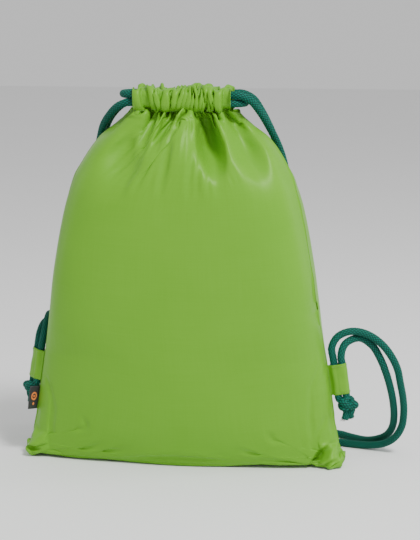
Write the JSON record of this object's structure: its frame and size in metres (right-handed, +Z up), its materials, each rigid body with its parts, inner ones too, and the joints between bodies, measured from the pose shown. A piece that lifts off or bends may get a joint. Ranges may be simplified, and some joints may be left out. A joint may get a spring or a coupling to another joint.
{
  "type": "drawstring sack bag",
  "caption": "Cloth drawstring sack, filled out and standing, gathered shut by braided cords that run from the casing down to knotted side tabs as shoulder straps.",
  "frame": {"origin": "on the floor, under the middle of the bag, where its two panels meet", "axes": "+X to the bag's left-hand side as the wearer sees it, to the right in a front view; +Y from the front panel to the back panel; +Z up"},
  "size_m": [0.398, 0.1937, 0.382],
  "materials": {
    "cloth": "satin woven polyester",
    "thread": "polyester thread",
    "cord": "braided cord",
    "label": "woven ribbon"
  },
  "bodies": {
    "bag": {"front_panel": "cloth", "back_panel": "cloth", "left_side_seam": "thread", "right_side_seam": "thread", "bottom_seam": "thread", "front_casing_stitch": "thread", "back_casing_stitch": "thread", "left_tab_bartack": "thread", "right_tab_bartack": "thread", "label_stitch": "thread", "right_cord_turn": "cord", "left_cord_turn": "cord", "right_strap_front": "cord", "right_strap_back": "cord", "left_strap_front": "cord", "left_strap_back": "cord"},
    "front_lip": {"front_casing": "cloth", "right_cord_tunnel_front": "cord", "left_cord_tunnel_front": "cord"},
    "back_lip": {"back_casing": "cloth", "right_cord_tunnel_back": "cord", "left_cord_tunnel_back": "cord"},
    "right_tab": {"right_tab": "cloth"},
    "left_tab": {"left_tab": "cloth"},
    "right_knot": {"right_knot": "cord", "right_cord_in_tab": "cord"},
    "left_knot": {"left_knot": "cord", "left_cord_in_tab": "cord"},
    "label": {"label": "label"}
  },
  "joints": [
    {"name": "mouth_front", "type": "hinge", "parent": "bag", "child": "front_lip", "pos_m": [0, -0.0146, 0.358], "axis": [1, 0, 0], "range_deg": [0, 25]},
    {"name": "mouth_back", "type": "hinge", "parent": "bag", "child": "back_lip", "pos_m": [0, 0.0146, 0.358], "axis": [-1, 0, 0], "range_deg": [0, 25]},
    {"name": "right_tab_swing", "type": "hinge", "parent": "bag", "child": "right_tab", "pos_m": [0.14941, 0, 0.089], "axis": [-0.1495, 0, 0.9888], "range_deg": [-30, 30]},
    {"name": "left_tab_swing", "type": "hinge", "parent": "bag", "child": "left_tab", "pos_m": [-0.14866, 0, 0.094], "axis": [-0.1495, 0, -0.9888], "range_deg": [-20, 4]},
    {"name": "right_knot_slide", "type": "slide", "parent": "right_tab", "child": "right_knot", "axis": [0.1495, 0, -0.9888], "range_m": [0, 0.025]},
    {"name": "left_knot_slide", "type": "slide", "parent": "left_tab", "child": "left_knot", "axis": [-0.1495, 0, -0.9888], "range_m": [0, 0.025]},
    {"name": "label_flap", "type": "hinge", "parent": "bag", "child": "label", "pos_m": [-0.15226, 0, 0.06], "axis": [-0.1495, 0, -0.9888], "range_deg": [-30, 20]}
  ],
  "couplings": [
    {"joint": "mouth_back", "follows": "mouth_front", "ratio": 1}
  ]
}
